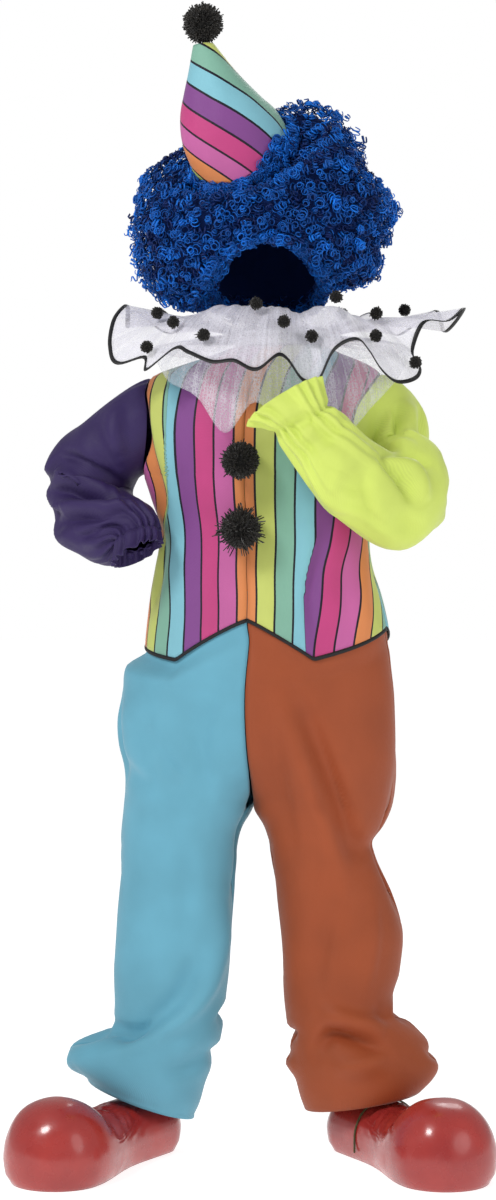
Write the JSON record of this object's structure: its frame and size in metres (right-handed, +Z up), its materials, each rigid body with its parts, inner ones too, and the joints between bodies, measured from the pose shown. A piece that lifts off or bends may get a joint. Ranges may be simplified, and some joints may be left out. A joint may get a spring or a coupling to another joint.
{
  "type": "clown costume set",
  "caption": "Child's worn clown costume: striped bodice, two-tone sleeves and trousers, tulle ruff, cone hat, curly wig and big-toed overshoes, held hollow in a standing pose.",
  "frame": {"origin": "on the middle line of the bodice at the height of the shoulder seams, where the wearer's shoulders carry the costume", "axes": "+Z up, -Y the way the wearer faces, +X towards the wearer's left"},
  "size_m": [0.6188, 0.4684, 1.5095],
  "materials": {
    "striped_cloth": "striped polyester gabardine, matt",
    "purple_cloth": "dark purple polyester gabardine, soft sheen",
    "lime_cloth": "neon yellow-green polyester gabardine, soft sheen",
    "blue_cloth": "light blue polyester gabardine, matt",
    "orange_cloth": "burnt orange polyester gabardine, matt",
    "black_tape": "black bias binding",
    "black_ribbon": "black satin ribbon",
    "white_organza": "stiff translucent white organza",
    "white_tulle": "soft translucent white tulle",
    "black_yarn": "black yarn pile",
    "blue_fibre": "royal blue synthetic curls, glossy",
    "red_latex": "smooth glossy red latex",
    "olive_elastic": "round olive elastic"
  },
  "bodies": {
    "root": {"front_right": "striped_cloth", "front_left": "striped_cloth", "back_right": "striped_cloth", "back_left": "striped_cloth", "hem_binding_front_right": "black_tape", "hem_binding_front_left": "black_tape", "hem_binding_back_right": "black_tape", "hem_binding_back_left": "black_tape", "sleeve_right": "purple_cloth", "sleeve_left": "lime_cloth", "trouser_right_front": "blue_cloth", "trouser_right_back": "blue_cloth", "trouser_left_front": "orange_cloth", "trouser_left_back": "orange_cloth", "neck_band": "white_tulle", "ruff_upper": "white_organza", "ruff_lower": "white_tulle", "ruff_ribbon": "black_ribbon", "pompom_upper": "black_yarn", "pompom_lower": "black_yarn", "hat_cone": "striped_cloth", "hat_pompom": "black_yarn", "wig": "blue_fibre", "overshoe_right": "red_latex", "overshoe_left": "red_latex", "overshoe_tie": "olive_elastic", "ruff_pompom_01": "black_yarn", "ruff_pompom_02": "black_yarn", "ruff_pompom_03": "black_yarn", "ruff_pompom_04": "black_yarn", "ruff_pompom_05": "black_yarn", "ruff_pompom_06": "black_yarn", "ruff_pompom_07": "black_yarn", "ruff_pompom_08": "black_yarn", "ruff_pompom_09": "black_yarn", "ruff_pompom_10": "black_yarn", "ruff_pompom_11": "black_yarn", "ruff_pompom_12": "black_yarn", "ruff_pompom_13": "black_yarn", "ruff_pompom_14": "black_yarn", "ruff_pompom_15": "black_yarn", "ruff_pompom_16": "black_yarn"}
  },
  "joints": []
}
